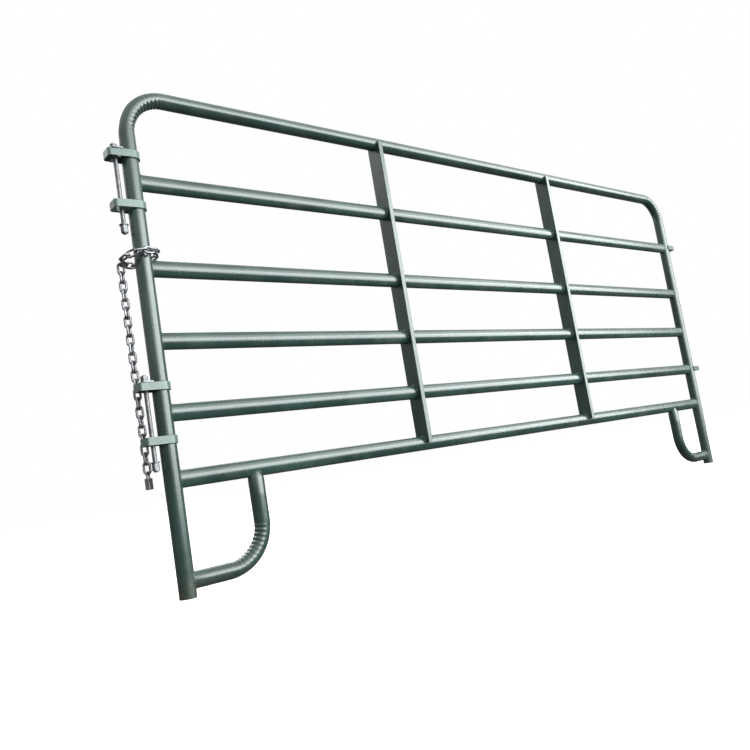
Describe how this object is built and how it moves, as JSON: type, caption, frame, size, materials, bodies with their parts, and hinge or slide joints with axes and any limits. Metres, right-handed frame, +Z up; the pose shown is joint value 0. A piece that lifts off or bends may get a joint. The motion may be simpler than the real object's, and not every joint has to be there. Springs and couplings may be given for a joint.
{
  "type": "livestock corral panel",
  "caption": "Portable livestock fence panel of painted steel tube with straight rails, J feet, loop straps, drop pins that lift and a hanging tie chain.",
  "frame": {"origin": "on the ground under the middle of the panel", "axes": "+Z up, +X along the rails towards the end with the lugs, +Y towards the side the chain hangs on"},
  "size_m": [3.1396, 0.124, 1.49],
  "materials": {
    "tube_paint": "gloss dark green paint over steel tube",
    "stay_paint": "gloss dark green paint over flat tube",
    "strap_paint": "gloss dark green paint over flat bar",
    "pin_zinc": "dull zinc plate",
    "chain_zinc": "dull zinc plate on welded links",
    "lock_steel": "weathered grey metal"
  },
  "bodies": {
    "panel_frame": {"hoop_tube": "tube_paint", "rail_2": "tube_paint", "rail_3": "tube_paint", "rail_4": "tube_paint", "rail_5": "tube_paint", "rail_6": "tube_paint", "stay_left": "stay_paint", "stay_right": "stay_paint", "foot_left": "tube_paint", "foot_right": "tube_paint", "strap_upper_top": "strap_paint", "strap_upper_bottom": "strap_paint", "strap_lower_top": "strap_paint", "strap_lower_bottom": "strap_paint", "lug_upper": "strap_paint", "lug_lower": "strap_paint", "chain_wrap": "chain_zinc"},
    "upper_pin": {"upper_pin_rod": "pin_zinc", "upper_pin_head": "pin_zinc", "upper_pin_plate": "pin_zinc", "upper_pin_washer": "pin_zinc", "upper_pin_nut": "pin_zinc"},
    "lower_pin": {"lower_pin_rod": "pin_zinc", "lower_pin_head": "pin_zinc", "lower_pin_plate": "pin_zinc", "lower_pin_washer": "pin_zinc", "lower_pin_nut": "pin_zinc"},
    "chain_tail_1": {"chain_tail_1": "chain_zinc"},
    "chain_tail_2": {"chain_tail_2": "chain_zinc"},
    "chain_tail_3": {"chain_tail_3": "chain_zinc"},
    "chain_tail_4": {"chain_tail_4": "chain_zinc"},
    "chain_tail_5": {"chain_tail_5": "chain_zinc"},
    "chain_tail_6": {"chain_tail_6": "chain_zinc"},
    "chain_tail_7": {"chain_tail_7": "chain_zinc"},
    "chain_tail_8": {"chain_tail_8": "chain_zinc"},
    "lock_shackle": {"lock_shackle": "lock_steel"},
    "lock_body": {"lock_body": "lock_steel"}
  },
  "joints": [
    {"name": "upper_pin_lift", "type": "slide", "parent": "panel_frame", "child": "upper_pin", "axis": [0, 0, 1], "range_m": [0, 0.19]},
    {"name": "lower_pin_lift", "type": "slide", "parent": "panel_frame", "child": "lower_pin", "axis": [0, 0, 1], "range_m": [0, 0.19]},
    {"name": "chain_swing_1", "type": "hinge", "parent": "panel_frame", "child": "chain_tail_1", "pos_m": [-1.54826, 0.04841, 0.95564], "axis": [0.7071, 0.7071, 0], "range_deg": [0, 30]},
    {"name": "chain_swing_2", "type": "hinge", "parent": "chain_tail_1", "child": "chain_tail_2", "pos_m": [-1.54826, 0.04841, 0.87689], "axis": [0.7071, -0.7071, 0], "range_deg": [0, 30]},
    {"name": "chain_swing_3", "type": "hinge", "parent": "chain_tail_2", "child": "chain_tail_3", "pos_m": [-1.54826, 0.04841, 0.79829], "axis": [0.7071, 0.7071, 0], "range_deg": [0, 30]},
    {"name": "chain_swing_4", "type": "hinge", "parent": "chain_tail_3", "child": "chain_tail_4", "pos_m": [-1.54826, 0.04841, 0.71969], "axis": [0.7071, -0.7071, 0], "range_deg": [0, 30]},
    {"name": "chain_swing_5", "type": "hinge", "parent": "chain_tail_4", "child": "chain_tail_5", "pos_m": [-1.54826, 0.04841, 0.64109], "axis": [0.7071, 0.7071, 0], "range_deg": [0, 30]},
    {"name": "chain_swing_6", "type": "hinge", "parent": "chain_tail_5", "child": "chain_tail_6", "pos_m": [-1.54826, 0.04841, 0.56249], "axis": [0.7071, -0.7071, 0], "range_deg": [0, 30]},
    {"name": "chain_swing_7", "type": "hinge", "parent": "chain_tail_6", "child": "chain_tail_7", "pos_m": [-1.54826, 0.04841, 0.48389], "axis": [0.7071, 0.7071, 0], "range_deg": [0, 30]},
    {"name": "chain_swing_8", "type": "hinge", "parent": "chain_tail_7", "child": "chain_tail_8", "pos_m": [-1.54826, 0.04841, 0.40529], "axis": [0.7071, -0.7071, 0], "range_deg": [0, 30]},
    {"name": "shackle_swing", "type": "hinge", "parent": "chain_tail_8", "child": "lock_shackle", "pos_m": [-1.54826, 0.04841, 0.35289], "axis": [0.7071, -0.7071, 0], "range_deg": [0, 40]},
    {"name": "lock_slide", "type": "slide", "parent": "lock_shackle", "child": "lock_body", "axis": [0, 0, -1], "range_m": [0, 0.008]}
  ]
}
